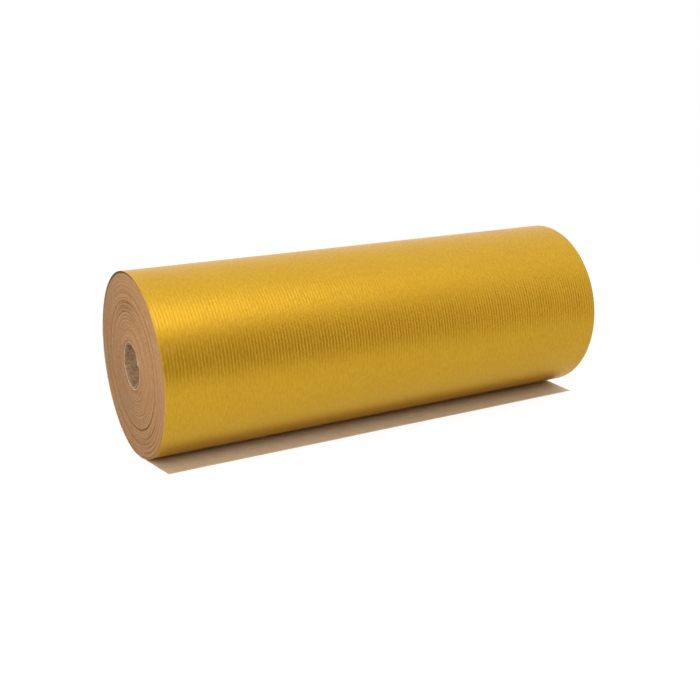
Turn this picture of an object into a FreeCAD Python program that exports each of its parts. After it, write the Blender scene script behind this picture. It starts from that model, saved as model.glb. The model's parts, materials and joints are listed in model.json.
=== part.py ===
import FreeCAD, Part
import os
from math import sqrt

import Sketcher

# A counter roll of gold-faced kraft wrapping paper, lying on its side with its free end laid flat
# in front of it. Millimetres. The origin is on the bore's axis at the middle of the roll, +X runs
# along that axis, +Z is up, and the free end reaches towards -Y.

SIZES = {
    "roll_length": 500,
    "roll_radius": 91,
    "bore_radius": 20,
    "ply_count": 5,
    "ply_thickness": 0.9,
    "tape_width": 19,
    "tape_thickness": 0.2,
    "tape_setback": 10,  # from each end of the roll to the tape's end
    "seam_radius": 62.3,  # the ring on the end faces where the winding tension changes
    "sheet_thickness": 0.3,
    "rest_drop": 0.137,  # how far the roll's own weight flattens it where it rests
    "step_setback": 1,  # from the axis to the step where the last turn leaves the windings
    "free_end_reach": 62.6,
    "root_reach": 11.1,  # the stretch of the free end that the roll pins to the floor
    "strip_count": 5,
    "crease_gap": 0.1,
    "left_inset": 11.6,  # the free edge is shorter than the roll, by this at its -X end
    "right_inset": 3.6,
}

# Heights above the axis of the sheet's lower face and of the two layers over it, where it rests.
FLOOR = "(Sizes.rest_drop - Sizes.roll_radius)"
LAYER_1 = f"({FLOOR} + Sizes.sheet_thickness)"
LAYER_2 = f"({FLOOR} + 2 * Sizes.sheet_thickness)"
CORE_RADIUS = "(Sizes.bore_radius + Sizes.ply_count * Sizes.ply_thickness)"
# The last turn closes in by one sheet: its back half is centred on the axis, and its front half
# half a sheet above it, so that its end lies on the sheet it started from.
BACK_CENTRE = "0"
FRONT_CENTRE = "(Sizes.sheet_thickness / 2)"

ROOT_POINT = (-1, 1)
VERTICAL_AXIS = -2
START, END, CENTRE = 1, 2, 3

doc = FreeCAD.newDocument("wrapping_paper_roll")
sheet = doc.addObject("Spreadsheet::Sheet", "Sizes")
for row, (alias, size) in enumerate(SIZES.items(), start=1):
    sheet.set(f"A{row}", alias)
    sheet.set(f"B{row}", str(size))
    sheet.setAlias(f"B{row}", alias)
doc.recompute()


def number(expression):
    return float(sheet.evalExpression(expression))


def new_body(name):
    body = doc.addObject("PartDesign::Body", name)
    body.Label = name
    return body


def new_sketch(body, plane, name="profile"):
    sketch = body.newObject("Sketcher::SketchObject", f"{body.Name}_{name}")
    planes = {feature.Role: feature for feature in body.Origin.OriginFeatures}
    sketch.AttachmentSupport = [(planes[plane], "")]
    sketch.MapMode = "FlatFace"
    return sketch


def bind(sketch, kind, references, expression):
    """Add a dimension that follows the spreadsheet."""
    index = sketch.addConstraint(
        Sketcher.Constraint(kind, *references, number(expression))
    )
    sketch.setExpression(f"Constraints[{index}]", expression)


def place(sketch, point, across, up):
    """Fix a point's distances from the sketch's origin. None leaves a direction free."""
    for kind, expression in (("DistanceX", across), ("DistanceY", up)):
        if expression is not None:
            bind(sketch, kind, (*ROOT_POINT, *point), expression)


def circle(sketch, radius):
    """A circle about the axis."""
    around = Part.Circle(FreeCAD.Vector(), FreeCAD.Vector(0, 0, 1), number(radius))
    index = sketch.addGeometry(around)
    sketch.addConstraint(
        Sketcher.Constraint("Coincident", index, CENTRE, *ROOT_POINT)
    )
    bind(sketch, "Radius", (index,), radius)


def arc_between(centre, first, second):
    """The arc about centre, anticlockwise from first to second, with both angles in order."""
    radius = (second - centre).Length
    around = Part.Circle(centre, FreeCAD.Vector(0, 0, 1), radius)
    low, high = (around.parameter(point) for point in (first, second))
    return Part.ArcOfCircle(around, low, high)


def outline(sketch, corners):
    """
    Close an outline through corners (across, up, bend), each an expression or None.

    bend is None where a straight edge follows the corner. Otherwise an arc about the point at that
    height on the vertical axis follows it, and it is (height, turn), with turn +1 anticlockwise.
    Where across is (side, centre, radius), the corner is the point of that arc at the height up.
    """
    points = []
    for across, up, _ in corners:
        high = number(up)
        if isinstance(across, tuple):
            side, centre, radius = across
            wide = side * sqrt(number(radius) ** 2 - (high - number(centre)) ** 2)
        else:
            wide = number(across)
        points.append(FreeCAD.Vector(wide, high))

    edges = []  # (geometry, the end at its own corner, the end at the next corner)
    for index, (_, _, bend) in enumerate(corners):
        here, there = points[index], points[(index + 1) % len(points)]
        if bend is None:
            edges.append((sketch.addGeometry(Part.LineSegment(here, there)), START, END))
            continue
        centre_up, turn = bend
        centre = FreeCAD.Vector(0, number(centre_up))
        ends = (here, there) if turn > 0 else (there, here)
        arc = sketch.addGeometry(arc_between(centre, *ends))
        place(sketch, (arc, CENTRE), None, centre_up)
        sketch.addConstraint(
            Sketcher.Constraint("PointOnObject", arc, CENTRE, VERTICAL_AXIS)
        )
        edges.append((arc, START, END) if turn > 0 else (arc, END, START))

    for index, (across, up, _) in enumerate(corners):
        geometry, own_end, _ = edges[index]
        before, _, far_end = edges[index - 1]
        sketch.addConstraint(
            Sketcher.Constraint("Coincident", before, far_end, geometry, own_end)
        )
        place(
            sketch,
            (geometry, own_end),
            None if isinstance(across, tuple) else across,
            up,
        )


def pad(body, sketch, length, symmetric=True):
    feature = body.newObject("PartDesign::Pad", f"{body.Name}_pad")
    feature.Profile = sketch
    feature.SideType = "Symmetric" if symmetric else "One side"
    feature.setExpression("Length", length)
    return feature


def tube(name, inner, outer):
    body = new_body(name)
    ring = new_sketch(body, "YZ_Plane")
    circle(ring, inner)
    circle(ring, outer)
    pad(body, ring, "Sizes.roll_length")
    return body


def core_ply(index, name):
    inner = f"(Sizes.bore_radius + {index} * Sizes.ply_thickness)"
    return tube(name, inner, f"({inner} + Sizes.ply_thickness)")


def tape_section(sketch):
    """A curved strip on top of the core, with square ends."""
    outer = f"({CORE_RADIUS} + Sizes.tape_thickness)"
    half = "(Sizes.tape_width / 2)"
    foot = f"sqrt({CORE_RADIUS} ^ 2 - {half} ^ 2)"
    brow = f"sqrt({outer} ^ 2 - {half} ^ 2)"
    outline(
        sketch,
        [
            (half, brow, (BACK_CENTRE, 1)),
            ((-1, BACK_CENTRE, outer), brow, None),
            ((-1, BACK_CENTRE, CORE_RADIUS), foot, (BACK_CENTRE, -1)),
            (half, foot, None),
        ],
    )


TAPE_LENGTH = "Sizes.roll_length - 2 * Sizes.tape_setback"


def start_tape():
    """The double-sided tape that fixes the web's leading edge to the core."""
    body = new_body("start_tape")
    section = new_sketch(body, "YZ_Plane")
    tape_section(section)
    pad(body, section, TAPE_LENGTH)
    return body


def inner_windings():
    """The web's turns from the core to the ring seam, with the tape under the first of them."""
    body = tube("inner_windings", CORE_RADIUS, "Sizes.seam_radius")
    recess = new_sketch(body, "YZ_Plane", "recess")
    tape_section(recess)
    cut = body.newObject("PartDesign::Pocket", "inner_windings_recess_cut")
    cut.Profile = recess
    cut.SideType = "Symmetric"
    cut.setExpression("Length", TAPE_LENGTH)
    return body


def back_corner(depth):
    """Where the back half of the turn meets the floor, depth sheets in from the outside."""
    radius = f"(Sizes.roll_radius - {depth} * Sizes.sheet_thickness)"
    return (1, BACK_CENTRE, radius)


def front_corner(depth):
    radius = f"(Sizes.roll_radius - ({depth} + 0.5) * Sizes.sheet_thickness)"
    return (-1, FRONT_CENTRE, radius)


def top(depth):
    return f"(Sizes.roll_radius - {depth} * Sizes.sheet_thickness)"


def outer_windings():
    """The web's turns from the ring seam out, with the step that the last turn continues from."""
    body = new_body("outer_windings")
    section = new_sketch(body, "YZ_Plane")
    outline(
        section,
        [
            ("-Sizes.step_setback", LAYER_1, None),
            (back_corner(1), LAYER_1, (BACK_CENTRE, 1)),
            ("0", top(1), (FRONT_CENTRE, 1)),
            (front_corner(1), LAYER_2, None),
            ("-Sizes.step_setback", LAYER_2, None),
        ],
    )
    circle(section, "Sizes.seam_radius")
    pad(body, section, "Sizes.roll_length")
    return body


def outer_turn():
    """
    The web's last turn.

    It starts on the floor under the axis, where the free end leaves it, goes round the back, over
    the top and down the front, and ends on top of the free end, against the windings' step.
    """
    body = new_body("outer_turn")
    section = new_sketch(body, "YZ_Plane")
    outline(
        section,
        [
            ("0", FLOOR, None),
            (back_corner(0), FLOOR, (BACK_CENTRE, 1)),
            ("0", top(0), (FRONT_CENTRE, 1)),
            (front_corner(0), LAYER_1, None),
            ("-Sizes.step_setback", LAYER_1, None),
            ("-Sizes.step_setback", LAYER_2, None),
            (front_corner(1), LAYER_2, (FRONT_CENTRE, -1)),
            ("0", top(1), (BACK_CENTRE, -1)),
            (back_corner(1), LAYER_1, None),
            ("0", LAYER_1, None),
        ],
    )
    pad(body, section, "Sizes.roll_length")
    return body


def flat_piece(name, near, far):
    """
    A piece of the free end, lying on the floor from near to far in front of the axis.

    Its ends lean in, because the free end narrows evenly from the axis to its edge.
    """
    body = new_body(name)
    plan = new_sketch(body, "XY_Plane")
    plan.setExpression(".AttachmentOffset.Base.z", FLOOR)

    def end(side, inset, reach):
        slope = f"Sizes.{inset} * {reach} / Sizes.free_end_reach"
        return f"{side} * (Sizes.roll_length / 2 - {slope})"

    outline(
        plan,
        [
            (end(-1, "left_inset", far), f"-{far}", None),
            (end(1, "right_inset", far), f"-{far}", None),
            (end(1, "right_inset", near), f"-{near}", None),
            (end(-1, "left_inset", near), f"-{near}", None),
        ],
    )
    pad(body, plan, "Sizes.sheet_thickness", symmetric=False)
    return body


STRIP_REACH = "((Sizes.free_end_reach - Sizes.root_reach) / Sizes.strip_count)"


def crease(index, side):
    """The edge of a strip at the crease before strip index: side -1 is nearer the roll."""
    middle = f"Sizes.root_reach + {index} * {STRIP_REACH}"
    return f"({middle} + {side} * Sizes.crease_gap / 2)"


def free_end_strip(index, count):
    """One of the strips that the free end bends between."""
    far = crease(index + 1, -1) if index + 1 < count else "(Sizes.free_end_reach)"
    return flat_piece(f"free_end_strip_{index + 1}", crease(index, 1), far)


def build():
    plies = int(number("Sizes.ply_count"))
    strips = int(number("Sizes.strip_count"))
    inner_names = [f"core_ply_{index + 1}" for index in range(1, plies - 1)]
    names = ["core_inner_ply", *inner_names, "core_outer_ply"]
    pieces = [core_ply(index, name) for index, name in enumerate(names)]
    pieces += [start_tape(), inner_windings(), outer_windings(), outer_turn()]
    pieces.append(flat_piece("free_end_root", "0", crease(0, -1)))
    pieces += [free_end_strip(index, strips) for index in range(strips)]
    return pieces


def check(pieces):
    for thing in doc.Objects:
        if {"Invalid", "Error"} & set(thing.State):
            raise RuntimeError(f"{thing.Label} failed: {thing.State}")
        if thing.isDerivedFrom("Sketcher::SketchObject") and not thing.FullyConstrained:
            raise RuntimeError(f"{thing.Label} isn't fully constrained")
    for piece in pieces:
        shape = piece.Shape
        if shape.isNull() or not shape.isValid() or len(shape.Solids) != 1:
            raise RuntimeError(f"{piece.Label} isn't one valid solid")


def export(pieces):
    os.makedirs("parts", exist_ok=True)
    for piece in pieces:
        piece.Shape.exportStep(f"parts/{piece.Label}.step")
        box = piece.Shape.BoundBox
        print(
            f"{piece.Label}: {piece.Shape.Volume:.1f} mm3, "
            f"x {box.XMin:.2f} to {box.XMax:.2f}, y {box.YMin:.2f} to {box.YMax:.2f}, "
            f"z {box.ZMin:.3f} to {box.ZMax:.3f}"
        )


roll = build()
doc.recompute()
check(roll)
export(roll)
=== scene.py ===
import json
import math

import bpy
import numpy as np
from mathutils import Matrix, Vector


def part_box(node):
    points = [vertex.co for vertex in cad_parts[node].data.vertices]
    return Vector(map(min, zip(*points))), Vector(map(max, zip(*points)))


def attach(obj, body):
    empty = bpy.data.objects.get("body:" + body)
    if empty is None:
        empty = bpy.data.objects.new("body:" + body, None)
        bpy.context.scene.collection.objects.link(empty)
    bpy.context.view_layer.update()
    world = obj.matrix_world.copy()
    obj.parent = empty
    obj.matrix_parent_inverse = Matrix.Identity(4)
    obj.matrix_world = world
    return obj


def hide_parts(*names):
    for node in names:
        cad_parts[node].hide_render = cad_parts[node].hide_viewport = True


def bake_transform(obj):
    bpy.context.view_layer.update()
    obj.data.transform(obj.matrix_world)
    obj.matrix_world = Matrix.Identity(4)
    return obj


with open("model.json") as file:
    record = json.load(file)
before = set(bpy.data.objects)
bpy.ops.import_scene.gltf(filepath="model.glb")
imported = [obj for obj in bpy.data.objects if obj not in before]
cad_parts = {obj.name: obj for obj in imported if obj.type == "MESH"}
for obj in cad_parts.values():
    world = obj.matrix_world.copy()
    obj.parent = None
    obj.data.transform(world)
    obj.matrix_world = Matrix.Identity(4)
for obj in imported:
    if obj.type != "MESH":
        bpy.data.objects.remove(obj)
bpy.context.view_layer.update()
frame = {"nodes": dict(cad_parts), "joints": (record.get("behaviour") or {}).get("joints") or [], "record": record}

# A counter roll of gold-faced ribbed wrapping paper. Metres, in the part's own frame: +X along the
# roll, +Z up, the free end towards -Y. An angle round the roll is 0 towards +Y and 90 at the top.

MM = 0.001
TURN = 2 * math.pi
TOP = TURN / 4


def mount(name):
    return next(m for m in frame["record"]["mounts"] if m["name"] == name)


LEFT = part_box("outer_turn")[0].x
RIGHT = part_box("outer_turn")[1].x
LENGTH = RIGHT - LEFT
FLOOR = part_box("outer_turn")[0].z
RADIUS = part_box("outer_turn")[1].z
BORE = mount("core_bore")["dims"]["r_mm"] * MM
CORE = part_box("core_outer_ply")[1].y
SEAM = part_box("inner_windings")[1].y
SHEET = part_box("free_end_root")[1].z - FLOOR
STEP = 1 * MM  # where the last turn leaves the windings, in front of the axis
CREASES = [joint["pos_m"][1] for joint in frame["joints"]]
FREE_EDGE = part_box("free_end_strip_5")[0].y
LEFT_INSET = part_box("free_end_strip_5")[0].x - LEFT
RIGHT_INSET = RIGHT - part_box("free_end_strip_5")[1].x

RIB_COUNT = 151
RIB_PITCH = LENGTH / RIB_COUNT
RIB_DEPTH = 0.225 * MM
RIB_CHANGE = 0.25  # how much deeper or shallower one rib is than another
BACK_RIB = 0.3  # how much of a rib shows on the uncoated side
USUAL_RIB = 0.8  # a usual rib's depth as a share of RIB_DEPTH
DEEPEST_RIB = RIB_DEPTH * (USUAL_RIB + RIB_CHANGE)
COLUMNS_PER_RIB = 6
COLUMNS = RIB_COUNT * COLUMNS_PER_RIB + 1
RAGGED = 0.08 * MM  # how far a cut edge of the last turn wanders to each side
SHARP = math.radians(40)  # a harder bend than this is an edge
LEAN = math.tan(math.radians(30))  # how far the wound edges lean away from the axis

rng = np.random.default_rng(547)


# Meshes


def grid(rows, columns, start=0, closed=False, flip=False):
    """Quads over rows x columns points, numbered row by row from start."""
    last = columns if closed else columns - 1
    row, column = np.meshgrid(np.arange(rows - 1), np.arange(last), indexing="ij")
    beside = (column + 1) % columns
    corners = [
        row * columns + column,
        row * columns + beside,
        (row + 1) * columns + beside,
        (row + 1) * columns + column,
    ]
    quads = np.stack(corners, -1).reshape(-1, 4) + start
    return (quads[:, ::-1] if flip else quads).tolist()


def strip(first, second, flip=False):
    """Quads between two equally long lines of point numbers."""
    quads = [
        [first[k], first[k + 1], second[k + 1], second[k]]
        for k in range(len(first) - 1)
    ]
    return [quad[::-1] for quad in quads] if flip else quads


def down(rows, columns, column, start=0):
    """The point numbers of one column of a grid."""
    return [start + row * columns + column for row in range(rows)]


def across(line, columns):
    """A value for each row, repeated over the columns."""
    return np.repeat(line[:, None], columns, axis=1)


def mesh_object(name, points, parts, web=None):
    """parts is a list of (material, faces). web gives each point its place on the flat sheet."""
    mesh = bpy.data.meshes.new(name)
    faces = [face for _, some in parts for face in some]
    mesh.from_pydata(np.asarray(points, float).tolist(), [], faces)
    slots = []
    for material, some in parts:
        if material.name not in mesh.materials:
            mesh.materials.append(material)
        slots += [mesh.materials.find(material.name)] * len(some)
    mesh.polygons.foreach_set("material_index", slots)
    mesh.polygons.foreach_set("use_smooth", [True] * len(faces))
    if web is not None:
        attribute = mesh.attributes.new("web", "FLOAT_VECTOR", "POINT")
        attribute.data.foreach_set("vector", np.asarray(web, np.float32).ravel())
    mesh.update()
    mesh.set_sharp_from_angle(angle=SHARP)
    made = bpy.data.objects.new(name, mesh)
    bpy.context.scene.collection.objects.link(made)
    return made


def uneven(low, high, spacing, size):
    """A smooth random line over low to high, with a value every spacing, as a function."""
    spare = 4  # values past the two ends
    count = int((high - low) / spacing) + spare
    places = low + spacing * (np.arange(count) - 1)
    values = rng.uniform(-size, size, count)

    def at(x):
        k = np.clip(((x - places[0]) / spacing).astype(int), 0, count - 2)
        share = (x - places[k]) / spacing
        ease = share * share * (3 - 2 * share)
        return values[k] * (1 - ease) + values[k + 1] * ease

    return at


# Materials


class Shader:
    """The nodes of a material or a world."""

    def __init__(self, owner):
        owner.use_nodes = True
        self.owner = owner
        self.tree = owner.node_tree
        self.tree.nodes.clear()

    def node(self, kind, inputs=None, **settings):
        made = self.tree.nodes.new(kind)
        for key, value in settings.items():
            setattr(made, key, value)
        for key, value in (inputs or {}).items():
            if isinstance(value, bpy.types.NodeSocket):
                self.tree.links.new(value, made.inputs[key])
            else:
                made.inputs[key].default_value = value
        return made

    def math(self, operation, first, second):
        return self.node("ShaderNodeMath", {0: first, 1: second}, operation=operation).outputs[0]

    def between(self, value, low, high, to_low=0.0, to_high=1.0):
        """An eased step from to_low to to_high as value goes from low to high."""
        inputs = {0: value, 1: low, 2: high, 3: to_low, 4: to_high}
        made = self.node("ShaderNodeMapRange", inputs, interpolation_type="SMOOTHSTEP")
        return made.outputs[0]

    def stretch(self, vector, scale):
        made = self.node("ShaderNodeVectorMath", {0: vector, 1: scale}, operation="MULTIPLY")
        return made.outputs[0]

    def noise(self, vector, scale, detail=2.0, roughness=0.5):
        inputs = {"Vector": vector, "Scale": scale, "Detail": detail, "Roughness": roughness}
        return self.node("ShaderNodeTexNoise", inputs).outputs[0]

    def line_noise(self, value, scale, detail=2.0, roughness=0.5):
        inputs = {"W": value, "Scale": scale, "Detail": detail, "Roughness": roughness}
        made = self.node("ShaderNodeTexNoise", inputs, noise_dimensions="1D")
        return made.outputs[0]

    def mix(self, share, first, second):
        """share is how much of second there is over first. Each is a socket or a colour."""
        made = self.node("ShaderNodeMix", {"Factor": share}, data_type="RGBA")
        for key, value in ((6, first), (7, second)):
            if isinstance(value, bpy.types.NodeSocket):
                self.tree.links.new(value, made.inputs[key])
            else:
                made.inputs[key].default_value = (*value, 1.0)
        return made.outputs[2]

    def bump(self, height, distance):
        inputs = {"Height": height, "Distance": distance, "Strength": 1.0}
        return self.node("ShaderNodeBump", inputs).outputs[0]

    def web(self):
        """A point's place on the flat web, and how far it is from the nearest cut edge."""
        place = self.node("ShaderNodeAttribute", attribute_name="web").outputs["Vector"]
        return place, self.node("ShaderNodeSeparateXYZ", {0: place}).outputs[2]

    def finish(self, **sockets):
        inputs = {key.replace("_", " "): value for key, value in sockets.items()}
        surface = self.node("ShaderNodeBsdfPrincipled", inputs)
        output = self.node("ShaderNodeOutputMaterial")
        self.tree.links.new(surface.outputs[0], output.inputs[0])
        return self.owner


def new_material(name):
    return Shader(bpy.data.materials.new(name))


def gold_face():
    """Metallic ink on ribbed kraft: fibres show through it, and it wears off along cut edges, where a pale line is
    partly worn ink and partly a painted highlight of the edge catching the light.
    """
    ink = (0.490, 0.283, 0.0165)
    bright_ink = (0.505, 0.294, 0.0175)
    deep_ink = (0.38, 0.19, 0.008)
    fibre = (0.68, 0.42, 0.04)
    worn_ink_and_painted_highlight = (0.56, 0.36, 0.10)
    along_fibres = (1.0, 0.35, 0.0)
    sparkle_height = 3.4  # times that of the fibres
    s = new_material("gold_face")
    web, from_edge = s.web()
    fibres = s.noise(s.stretch(web, along_fibres), 1400.0, 3.0, 0.6)
    grain = s.noise(s.stretch(web, along_fibres), 480.0, 3.0, 0.6)
    sparkle = s.noise(s.stretch(web, (1.0, 0.7, 0.0)), 620.0, 2.0, 0.6)
    clouds = s.noise(s.stretch(web, (1.0, 1.0, 0.0)), 25.0, 2.0, 0.5)
    colour = s.mix(s.between(clouds, 0.3, 0.7), ink, bright_ink)
    colour = s.mix(s.between(grain, 0.35, 0.7, 0.0, 0.4), colour, deep_ink)
    colour = s.mix(s.between(fibres, 0.45, 0.8, 0.0, 0.35), colour, fibre)
    # A pale line along each cut edge: partly worn ink, partly a painted highlight where the sheet's edge catches
    # the light.
    wear_and_highlight_line = s.math("ADD", from_edge, s.between(grain, 0.3, 0.7, -0.3 * MM, 0.3 * MM))
    colour = s.mix(s.between(wear_and_highlight_line, 0.2 * MM, 1.2 * MM, 0.5, 0.0), colour, worn_ink_and_painted_highlight)
    sparkles = s.math("MULTIPLY", sparkle, sparkle_height)
    height = s.math("ADD", s.math("ADD", fibres, grain), sparkles)
    return s.finish(
        Base_Color=colour,
        Metallic=0.85,
        Roughness=s.between(fibres, 0.3, 0.7, 0.33, 0.40),
        Specular_Tint=(0.96, 0.86, 0.72, 1.0),
        Normal=s.bump(height, 0.09 * MM),
    )


def kraft_back():
    """The web's uncoated side: brown kraft with long fibres, paler near a cut edge."""
    kraft = (0.60, 0.455, 0.275)
    pale_kraft = (0.655, 0.505, 0.31)
    streak = (0.50, 0.385, 0.245)
    fibre = (0.44, 0.35, 0.235)
    near_edge = (0.70, 0.56, 0.36)
    s = new_material("kraft_back")
    web, from_edge = s.web()
    fibres = s.noise(s.stretch(web, (0.25, 1.0, 0.0)), 1100.0, 4.0, 0.6)
    streaks = s.noise(s.stretch(web, (0.15, 1.0, 0.0)), 200.0, 3.0, 0.6)
    clouds = s.noise(s.stretch(web, (1.0, 1.0, 0.0)), 90.0, 3.0, 0.5)
    colour = s.mix(s.between(clouds, 0.3, 0.7), kraft, pale_kraft)
    colour = s.mix(s.between(streaks, 0.4, 0.7, 0.0, 0.3), colour, streak)
    colour = s.mix(s.between(fibres, 0.5, 0.8, 0.0, 0.4), colour, fibre)
    colour = s.mix(s.between(from_edge, 0.5 * MM, 5.0 * MM, 0.4, 0.0), colour, near_edge)
    return s.finish(
        Base_Color=colour,
        Roughness=s.between(fibres, 0.3, 0.7, 0.75, 0.9),
        Normal=s.bump(fibres, 0.03 * MM),
    )


def wound_layers(s, place, layer):
    """The colour of the wound web's edges, where layer is a point's radius, a little uneven."""
    paper = (0.370, 0.193, 0.078)
    pale_paper = (0.435, 0.236, 0.101)
    orange_stain = (0.38, 0.155, 0.042)
    pale_stain = (0.39, 0.235, 0.115)
    dark_ring = (0.25, 0.120, 0.042)
    dark_layer = (0.19, 0.086, 0.029)
    bright_layer = (0.56, 0.345, 0.175)
    bright_sheet = (0.52, 0.31, 0.15)
    bands = s.line_noise(layer, 230.0, 2.0, 0.6)
    stains = s.noise(place, 140.0, 3.0, 0.6)
    rings = s.line_noise(layer, 600.0, 3.0, 0.7)
    layers = s.line_noise(layer, 1100.0, 2.0, 0.7)
    sheets = s.line_noise(layer, 5200.0, 1.0, 0.5)
    colour = s.mix(s.between(bands, 0.3, 0.7), paper, pale_paper)
    colour = s.mix(s.between(stains, 0.50, 0.68, 0.0, 0.7), colour, orange_stain)
    colour = s.mix(s.between(stains, 0.48, 0.30, 0.0, 0.6), colour, pale_stain)
    colour = s.mix(s.between(rings, 0.50, 0.70, 0.0, 0.5), colour, dark_ring)
    colour = s.mix(s.between(layers, 0.52, 0.66, 0.0, 0.85), colour, dark_layer)
    colour = s.mix(s.between(layers, 0.46, 0.33, 0.0, 0.8), colour, bright_layer)
    colour = s.mix(s.between(sheets, 0.55, 0.8, 0.0, 0.3), colour, bright_sheet)
    return colour, layers, sheets


def web_edges():
    """The cut edges of the wound web: hundreds of fine layers that lean outward a little, with a painted shadow
    along the outer rim on the back half.
    """
    dirt = (0.25, 0.122, 0.044)
    painted_rim_shadow = (0.075, 0.050, 0.030)
    ridge_height = 0.10 * MM
    s = new_material("web_edges")
    place = s.node("ShaderNodeTexCoord").outputs["Object"]
    flat = s.stretch(place, (0.0, 1.0, 1.0))
    radius = s.node("ShaderNodeVectorMath", {0: flat}, operation="LENGTH").outputs[1]
    drift = s.noise(flat, 25.0, 2.0, 0.5)
    layer = s.math("ADD", radius, s.math("MULTIPLY", drift, 0.6 * MM))
    colour, layers, sheets = wound_layers(s, place, layer)
    mottle = s.noise(place, 420.0, 3.0, 0.6)
    colour = s.mix(s.between(mottle, 0.35, 0.7, 0.0, 0.4), colour, dirt)
    # Painted shadow: a dark line along the outer rim, on the back half of each end only.
    rim = s.between(radius, RADIUS - 1.4 * MM, RADIUS - 0.7 * MM)
    towards_back = s.node("ShaderNodeSeparateXYZ", {0: place}).outputs[1]
    shadowed_back_half = s.between(towards_back, -0.2 * RADIUS, 0.3 * RADIUS, 0.0, 0.8)
    colour = s.mix(s.math("MULTIPLY", rim, shadowed_back_half), colour, painted_rim_shadow)
    ridges = s.math("ADD", s.math("MULTIPLY", layers, 2.0), sheets)
    ridges = s.math("MULTIPLY", ridges, ridge_height)
    height = s.math("SUBTRACT", ridges, s.math("MULTIPLY", radius, LEAN))
    return s.finish(
        Base_Color=colour,
        Roughness=s.between(mottle, 0.3, 0.7, 0.75, 0.92),
        Specular_IOR_Level=0.08,
        Normal=s.bump(height, 1.0),
    )


def core_board(name, pale, dark, specks):
    """Recycled board, with darker fibres and specks."""
    s = new_material(name)
    place = s.node("ShaderNodeTexCoord").outputs["Object"]
    fibres = s.noise(s.stretch(place, (0.5, 1.0, 1.0)), 900.0, 4.0, 0.65)
    patches = s.noise(place, 160.0, 3.0, 0.6)
    spots = s.noise(place, 430.0, 3.0, 0.6)
    colour = s.mix(s.between(patches, 0.35, 0.7), pale, dark)
    colour = s.mix(s.between(fibres, 0.5, 0.8, 0.0, 0.5), colour, specks)
    colour = s.mix(s.between(spots, 0.54, 0.68, 0.0, 0.7), colour, specks)
    return s.finish(
        Base_Color=colour,
        Roughness=s.between(fibres, 0.3, 0.7, 0.8, 0.95),
        Normal=s.bump(fibres, 0.06 * MM),
    )


def adhesive_tape():
    """Cream tissue tape with its adhesive's faint flow lines."""
    tissue = (0.78, 0.74, 0.63)
    adhesive = (0.66, 0.61, 0.50)
    s = new_material("adhesive_tape")
    place = s.node("ShaderNodeTexCoord").outputs["Object"]
    flow = s.noise(s.stretch(place, (0.1, 1.0, 1.0)), 700.0, 3.0, 0.6)
    return s.finish(
        Base_Color=s.mix(s.between(flow, 0.3, 0.7), tissue, adhesive),
        Roughness=s.between(flow, 0.3, 0.7, 0.3, 0.5),
        Normal=s.bump(flow, 0.02 * MM),
    )


def floor_finish():
    """A pale matt table top that glows a little, so that it reads as plain white."""
    grey = (0.19, 0.19, 0.19)
    pale_grey = (0.21, 0.21, 0.21)
    s = new_material("floor_finish")
    place = s.node("ShaderNodeTexCoord").outputs["Object"]
    grain = s.noise(place, 300.0, 3.0, 0.6)
    return s.finish(
        Base_Color=s.mix(s.between(grain, 0.3, 0.7), grey, pale_grey),
        Roughness=0.9,
        Emission_Color=(1.0, 1.0, 1.0, 1.0),
        Emission_Strength=0.82,
    )


GOLD = gold_face()
KRAFT = kraft_back()
EDGES = web_edges()
BOARD = core_board(
    "core_board", pale=(0.25, 0.128, 0.054), dark=(0.20, 0.100, 0.041), specks=(0.11, 0.055, 0.022)
)
PALE_BOARD = core_board(
    "pale_board", pale=(0.58, 0.39, 0.21), dark=(0.48, 0.30, 0.15), specks=(0.24, 0.13, 0.060)
)
LINER = core_board(
    "core_liner", pale=(0.37, 0.220, 0.100), dark=(0.21, 0.115, 0.048), specks=(0.06, 0.032, 0.013)
)


# The web


rib_gain = uneven(LEFT, RIGHT, spacing=1.3 * RIB_PITCH, size=RIB_CHANGE)
rib_drift = uneven(LEFT, RIGHT, spacing=4 * RIB_PITCH, size=0.12 * RIB_PITCH)


def rib(x):
    """How far the ribbed face lies below its crests at x, in metres, never above 0."""
    wave = 0.5 - 0.5 * np.cos(TURN * (x - LEFT + rib_drift(x)) / RIB_PITCH)
    return -RIB_DEPTH * wave * (USUAL_RIB + rib_gain(x))


def turn_line(depth, arc_steps):
    """
    The line that the last turn follows, depth sheets in from its outer face.

    It gives y, z and the outward direction from the floor under the axis round the back, over the
    top and down the front to where the turn lies on the sheet that it started from.
    """
    back = RADIUS - depth * SHEET
    front = RADIUS - (depth + 0.5) * SHEET
    low, high = FLOOR + depth * SHEET, FLOOR + (depth + 1) * SHEET
    rise = SHEET / 2
    back_angle = np.linspace(math.asin(low / back), TOP, arc_steps + 1)
    front_end = math.pi - math.asin((high - rise) / front)
    front_angle = np.linspace(TOP, front_end, arc_steps + 1)[1:]
    angle = np.concatenate([[-TOP], back_angle, front_angle, [3 * TOP]])
    y = np.concatenate([[0], back * np.cos(back_angle), front * np.cos(front_angle), [-STEP]])
    z = np.concatenate(
        [[low], back * np.sin(back_angle), rise + front * np.sin(front_angle), [high]]
    )
    return y, z, np.cos(angle), np.sin(angle)


def ribbed_face(line, along):
    """The last turn's outer face as rows of points, with its ribs and ragged cut edges."""
    y, z, out_y, out_z = line
    sway = 0.15  # how much a rib's depth changes round the roll
    sway_length = 31 * MM
    x = np.repeat(np.linspace(LEFT, RIGHT, COLUMNS)[None], len(along), axis=0)
    ragged = uneven(0, along[-1], spacing=7 * MM, size=RAGGED)(along)
    x[:, 0] += RAGGED + ragged
    x[:, -1] -= RAGGED - ragged
    sink = rib(x) * (1 + sway * np.sin(along / sway_length)[:, None])
    return np.stack([x, y[:, None] + out_y[:, None] * sink, z[:, None] + out_z[:, None] * sink], -1)


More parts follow.
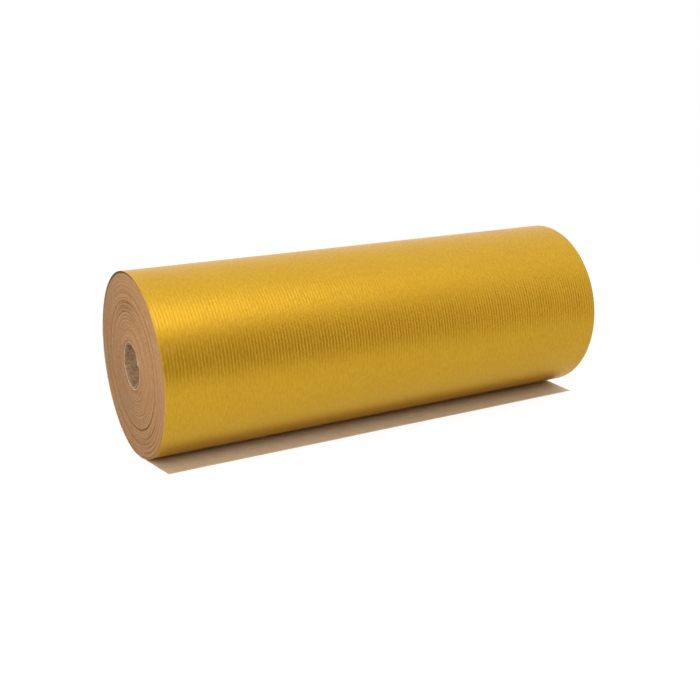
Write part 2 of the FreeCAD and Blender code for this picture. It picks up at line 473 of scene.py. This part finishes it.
def outer_turn_parts(rows):
    """The last turn's gold face, its kraft back with the line's two ends, and its cut edges."""
    base = rows * COLUMNS
    outer_left = down(rows, COLUMNS, 0)
    outer_right = down(rows, COLUMNS, COLUMNS - 1)
    inner_left = down(rows, 2, 0, base)
    inner_right = down(rows, 2, 1, base)
    start = [*range(COLUMNS), inner_right[0], inner_left[0]]
    end = [*range(base - COLUMNS, base), inner_right[-1], inner_left[-1]]
    back = grid(rows, 2, base, flip=True) + [start[::-1], end]
    cut = strip(outer_left, inner_left) + strip(outer_right, inner_right, flip=True)
    return [(GOLD, grid(rows, COLUMNS)), (KRAFT, back), (EDGES, cut)]


def outer_turn():
    """The last turn: its ribbed outer face, and two points a row for its smooth inner face."""
    arc_steps = 50
    line = turn_line(0, arc_steps)
    y, z = line[:2]
    along = np.concatenate([[0], np.cumsum(np.hypot(np.diff(y), np.diff(z)))])
    outer = ribbed_face(line, along)
    x = outer[..., 0]
    inner_y, inner_z, _, _ = turn_line(1, arc_steps)
    inner = np.stack([x[:, [0, -1]], across(inner_y, 2), across(inner_z, 2)], -1)
    points = np.concatenate([outer.reshape(-1, 3), inner.reshape(-1, 3)])
    place = np.stack([x, across(along, COLUMNS), np.minimum(x - LEFT, RIGHT - x)], -1)
    web = np.concatenate([place.reshape(-1, 3), place[:, [0, -1]].reshape(-1, 3)])
    made = mesh_object("outer_turn_web", points, outer_turn_parts(len(y)), web)
    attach(made, "roll")
    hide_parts("outer_turn")


def free_end_width(y):
    """(left, right) of the free end at y: it narrows evenly to its cut edge."""
    share = np.clip(y / FREE_EDGE, 0, 1)
    return LEFT + LEFT_INSET * share, RIGHT - RIGHT_INSET * share


edge_wave = uneven(LEFT, RIGHT, spacing=60 * MM, size=0.5)


def lift(x, y):
    """How far the free end stands off the floor: hardly at all, more towards its edge."""
    start = 0.35  # how far along the free end it leaves the floor, as a share
    edge_height = 0.35  # mm
    wave_height = 0.3  # mm
    share = np.clip((y / FREE_EDGE - start) / (1 - start), 0, 1)
    return share * share * (edge_height + wave_height * edge_wave(x)) * MM


def free_end_piece(name, near, far):
    """The free end from near to far in front of the axis, as it lies on the floor."""
    rows = 9
    y = across(np.linspace(near, far, rows), COLUMNS)
    left, right = free_end_width(y)
    x = left + (right - left) * np.linspace(0, 1, COLUMNS)
    laid = FLOOR + lift(x, y)
    over = laid + SHEET - BACK_RIB * (DEEPEST_RIB + rib(x))
    under = laid - rib(x)
    from_edge = np.minimum(np.minimum(x - left, right - x), y - FREE_EDGE)
    web = np.stack([x, y, from_edge], -1).reshape(-1, 3)
    top = np.stack([x, y, over], -1).reshape(-1, 3)
    low = np.stack([x, y, under], -1).reshape(-1, 3)
    count = rows * COLUMNS
    first, last = [*range(COLUMNS)], [*range(count - COLUMNS, count)]
    left_side, right_side = down(rows, COLUMNS, 0), down(rows, COLUMNS, COLUMNS - 1)
    rim = []
    for side, flip in ((first, False), (last, True), (left_side, True), (right_side, False)):
        rim += strip(side, [number + count for number in side], flip)
    kraft = grid(rows, COLUMNS, flip=True) + rim
    parts = [(KRAFT, kraft), (GOLD, grid(rows, COLUMNS, start=count))]
    return mesh_object(name, np.concatenate([top, low]), parts, np.concatenate([web, web]))


def free_end():
    """Five sheets that meet half way between the creases, each of them across one crease."""
    edges = [*CREASES, FREE_EDGE]
    middles = [(edges[k] + edges[k + 1]) / 2 for k in range(len(CREASES))]
    bounds = [0.0, *middles[:-1], FREE_EDGE]
    for index in range(len(CREASES)):
        near, far = bounds[index], bounds[index + 1]
        nodes = [f"free_end_strip_{index + 1}"] + (["free_end_root"] if index == 0 else [])
        made = free_end_piece(f"free_end_sheet_{index + 1}", near, far)
        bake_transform(made)
        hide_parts(*nodes)


# The end faces


END_INSET = 0.25 * MM  # how deep the ends lie on average, between grooves
RING_SWAY = 0.35 * MM  # how far the rings wander in and out
RING_SWAY_LENGTH = 9 * MM
GROOVES = (
    # radius as a share of the roll's, depth and half width in mm, the angle where it is
    # deepest, and its least depth as a share
    (SEAM / RADIUS, 1.90, 0.50, 205, 0.40),
    (0.668, 1.10, 0.38, 88, 0.00),
    (0.640, 1.40, 0.42, 84, 0.00),
    (0.612, 1.40, 0.42, 80, 0.00),
    (0.580, 1.10, 0.38, 78, 0.05),
    (0.546, 0.60, 0.35, 92, 0.05),
    (0.505, 0.50, 0.35, 90, 0.10),
    (0.462, 0.45, 0.35, 86, 0.10),
    (0.400, 0.40, 0.35, 100, 0.15),
    (0.730, 0.40, 0.35, 90, 0.10),
    (0.780, 0.35, 0.35, 80, 0.10),
    (0.745, 0.70, 0.38, 255, 0.05),
    (0.790, 0.80, 0.38, 248, 0.05),
    (0.835, 0.95, 0.40, 244, 0.05),
    (0.880, 0.95, 0.40, 242, 0.05),
    (0.930, 0.95, 0.40, 244, 0.05),
    (0.984, 1.50, 0.60, 100, 0.10),
    (0.990, 1.50, 0.65, -10, 0.00),
    (0.330, 0.40, 0.30, 250, 0.20),
)
fine_layers = uneven(0, RADIUS, spacing=0.6 * MM, size=0.05 * MM)
layers = uneven(0, RADIUS, spacing=1.5 * MM, size=0.15 * MM)
bands = uneven(0, RADIUS, spacing=6 * MM, size=0.10 * MM)


def end_depth(radius, angle):
    """How far the wound edges lie inside the roll's end, never negative."""
    sway = RING_SWAY * np.sin(2 * angle + radius / RING_SWAY_LENGTH)
    depth = END_INSET + fine_layers(radius + sway) + layers(radius + sway) + bands(radius)
    for share, deep, half_width, towards, least in GROOVES:
        off = (radius - share * RADIUS) / (half_width * MM)
        near = np.exp(-off * off)
        swing = 0.5 + 0.5 * np.cos(angle - math.radians(towards))
        depth = depth + deep * MM * near * (least + (1 - least) * swing)
    return np.maximum(depth, 0)


def wound_ring(node, inner, outer, rings):
    """A ring of wound web between two closed lines of (y, z), with layered ends."""
    count = len(inner)
    share = np.linspace(0, 1, rings)[:, None, None]
    section = inner[None] * (1 - share) + outer[None] * share
    y, z = section[..., 0], section[..., 1]
    depth = end_depth(np.hypot(y, z), np.arctan2(z, y))
    left = np.stack([LEFT + depth, y, z], -1).reshape(-1, 3)
    right = np.stack([RIGHT - depth, y, z], -1).reshape(-1, 3)
    base = rings * count
    hole = [*range(count), 0]
    rim = [*range(base - count, base), base - count]
    faces = grid(rings, count, closed=True, flip=True)
    faces += grid(rings, count, base, closed=True)
    faces += strip(hole, [number + base for number in hole])
    faces += strip(rim, [number + base for number in rim], flip=True)
    made = mesh_object(f"{node}_web", np.concatenate([left, right]), [(EDGES, faces)])
    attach(made, "roll")
    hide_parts(node)


def circle(radius, angles):
    return np.stack([radius * np.cos(angles), radius * np.sin(angles)], -1)


def windings():
    """The turns inside the seam, and those outside it but for the last."""
    angles = np.linspace(0, TURN, 200, endpoint=False)
    wound_ring("inner_windings", circle(CORE, angles), circle(SEAM, angles), rings=126)
    y, z, _, _ = turn_line(1, arc_steps=100)
    rim = np.stack([np.append(y, -STEP), np.append(z, FLOOR + SHEET)], -1)
    hole = circle(SEAM, np.arctan2(rim[:, 1], rim[:, 0]))
    wound_ring("outer_windings", hole, rim, rings=95)


# The core


HELIX_TURNS = 4
BORE_COLUMNS = 96
NOTCH = math.radians(165)  # where the lap's step shows at both ends
CORE_PLIES = (
    # node, material, how deep its ends lie in mm, and how much deeper towards the back
    ("core_ply_2", BOARD, 0.15, 0.3),
    ("core_ply_3", BOARD, 0.80, 1.8),
    ("core_ply_4", PALE_BOARD, 0.10, 0.0),
    ("core_outer_ply", BOARD, 0.30, 0.3),
)


def ply(node, board, inner, depth, back_depth):
    """A plain ply of the core, its cut ends a little rough and rounded."""
    count = 120
    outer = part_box(node)[1].y
    angles = np.linspace(0, TURN, count, endpoint=False)
    soft = 0.12 * MM
    waves = 3
    wave_height = 0.03  # mm
    swell = rng.uniform(0, TURN, waves)
    rough = sum(np.sin((k + 2) * angles + swell[k]) for k in range(waves)) * wave_height * MM
    deepest = math.radians(-10)  # just below level, at the back
    towards_back = np.clip(np.cos(angles - deepest), 0, 1)
    sunk = (depth + back_depth * towards_back) * MM + rough
    rings = []
    for end, inward in ((LEFT, 1), (RIGHT, -1)):
        lines = [(inner, soft), (inner + soft, 0), (outer - soft, 0), (outer, soft)]
        for radius, extra in lines[::inward]:
            x = end + inward * (sunk + extra)
            rings.append(np.column_stack([x, circle(radius, angles)]))
    loops = len(rings)
    faces = grid(loops, count, closed=True, flip=True)
    ends = [*range((loops - 1) * count, loops * count), (loops - 1) * count]
    faces += strip(ends, [*range(count), 0], flip=True)
    made = mesh_object(f"{node}_board", np.concatenate(rings), [(board, faces)])
    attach(made, "roll")
    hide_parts(node)


def bore_radius(x, share):
    """The bore's radius at x and at share of a turn from the lap's step."""
    low, high = BORE + 0.1 * MM, BORE + 0.75 * MM
    ramp = 0.11  # of a turn
    loose_arc = 0.11  # of a turn
    loose_length = 7 * MM
    loose_height = 2.4 * MM
    ease = np.clip(share / ramp, 0, 1)
    loose = np.clip(1 - share / loose_arc, 0, 1) ** 2 * np.exp((LEFT - x) / loose_length)
    return low + (high - low) * ease * ease * (3 - 2 * ease) - loose_height * loose


def inner_ply_parts(rows):
    """The bore with its lap's step, and the pale ends and outer wall of the ply."""
    wide = BORE_COLUMNS + 1
    bore = rows * wide
    first, last = [*range(wide)], [*range(bore - wide, bore)]
    left_rim = [bore + k % BORE_COLUMNS for k in range(wide)]
    right_rim = [number + BORE_COLUMNS for number in left_rim]
    lap = strip(down(rows, wide, 0), down(rows, wide, BORE_COLUMNS))
    board = strip(first, left_rim, flip=True)[1:] + strip(last, right_rim)[1:]
    board += [[left_rim[0], left_rim[1], first[1], first[0], first[-1]]]
    board += [[last[-1], last[0], last[1], right_rim[1], right_rim[0]]]
    board += strip(left_rim, right_rim, flip=True)
    return [(LINER, grid(rows, wide) + lap), (PALE_BOARD, board)]


def inner_ply():
    """
    The ply that lines the bore.

    Its strip laps over itself along a helix, which shows as a step in the bore. The helix makes whole
    turns over the roll's length, so both ends have the step at one angle. At the left end the lap's
    corner has come loose and stands into the bore.
    """
    inset = 0.25 * MM
    rows = HELIX_TURNS * BORE_COLUMNS + 1
    share = np.linspace(0, 1, BORE_COLUMNS + 1)
    twist = np.linspace(0, HELIX_TURNS * TURN, rows)[:, None]
    angle = NOTCH - share * TURN + twist
    x = across(np.linspace(LEFT + inset, RIGHT - inset, rows), BORE_COLUMNS + 1)
    radius = bore_radius(x, share)
    bore = np.stack([x, radius * np.cos(angle), radius * np.sin(angle)], -1).reshape(-1, 3)
    rim_angles = NOTCH - np.linspace(0, TURN, BORE_COLUMNS, endpoint=False)
    rim = circle(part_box("core_inner_ply")[1].y, rim_angles)
    rims = [np.column_stack([np.full(BORE_COLUMNS, end), rim]) for end in (x[0, 0], x[-1, 0])]
    points = np.concatenate([bore, *rims])
    made = mesh_object("core_inner_ply_lap", points, inner_ply_parts(rows))
    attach(made, "roll")
    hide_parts("core_inner_ply")


def core():
    inner_ply()
    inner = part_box("core_inner_ply")[1].y
    for node, board, depth, back_depth in CORE_PLIES:
        ply(node, board, inner, depth, back_depth)
        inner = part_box(node)[1].y


# The studio


def camera():
    """At the left front, a little above the roll, looking down its length."""
    place = (-5.927, -10.198, 3.290)  # in radii of the roll
    below_level = 16.63  # degrees
    turned_right = 29.70  # degrees
    data = bpy.data.cameras.new("camera")
    data.sensor_width = 36
    data.lens = 53.67
    data.clip_end = 50
    made = bpy.data.objects.new("camera", data)
    made.location = Vector(place) * RADIUS
    made.rotation_euler = (math.radians(90 - below_level), 0, math.radians(-turned_right))
    bpy.context.scene.collection.objects.link(made)
    bpy.context.scene.camera = made


def softbox(name, place, size, power, aim=(0, 0, 0), colour=(1.0, 1.0, 1.0)):
    data = bpy.data.lights.new(name, "AREA")
    data.color = colour
    data.shape = "RECTANGLE"
    data.size, data.size_y = size
    data.energy = power
    made = bpy.data.objects.new(name, data)
    made.location = place
    made.rotation_euler = (Vector(aim) - Vector(place)).to_track_quat("-Z", "Y").to_euler()
    bpy.context.scene.collection.objects.link(made)


def surroundings():
    """A white room whose dark side is behind the camera, which itself sees only white."""
    world = bpy.data.worlds.new("studio")
    bpy.context.scene.world = world
    s = Shader(world)
    white = (1.0, 1.0, 1.0)
    warm = (1.0, 0.52, 0.08)
    lit, dim = 1.38, 0.15
    dark_side = Vector((-0.62, -0.75, 0.0)).normalized()
    towards = s.node("ShaderNodeTexCoord").outputs["Generated"]
    facing = s.node("ShaderNodeVectorMath", {0: towards, 1: dark_side}, operation="DOT_PRODUCT")
    darkness = s.between(facing.outputs["Value"], -0.05, 0.70)
    colour = s.mix(darkness, white, warm)
    strength = s.between(darkness, 0.0, 1.0, lit, dim)
    light = s.node("ShaderNodeBackground", {0: colour, 1: strength}).outputs[0]
    backdrop = s.node("ShaderNodeBackground", {0: (*white, 1.0), 1: 1.0}).outputs[0]
    seen = s.node("ShaderNodeLightPath").outputs["Is Camera Ray"]
    shown = s.node("ShaderNodeMixShader", {0: seen, 1: light, 2: backdrop}).outputs[0]
    output = s.node("ShaderNodeOutputWorld")
    s.tree.links.new(shown, output.inputs[0])


def studio():
    centre = (0, 0, FLOOR)
    bpy.ops.mesh.primitive_circle_add(vertices=96, radius=0.95, fill_type="NGON", location=centre)
    ground = bpy.context.object
    ground.name = "floor"
    ground.data.materials.append(floor_finish())
    surroundings()
    softbox("overhead", place=(-0.25, -0.56, 1.26), size=(1.2, 0.8), power=6)
    softbox(
        "fill",
        place=(-0.98, -0.85, 0.56),
        size=(0.6, 0.5),
        power=12.5,
        aim=(LEFT, 0, 0),
        colour=(0.90, 1.0, 1.2),
    )
    bpy.context.scene.view_settings.view_transform = "Standard"
    camera()


def repaint_hidden_nodes():
    """The tape is the one CAD node that stays: it is sealed under the first turn."""
    tape = frame["nodes"]["start_tape"]
    tape.data.materials.clear()
    tape.data.materials.append(adhesive_tape())


studio()
outer_turn()
free_end()
windings()
core()
repaint_hidden_nodes()
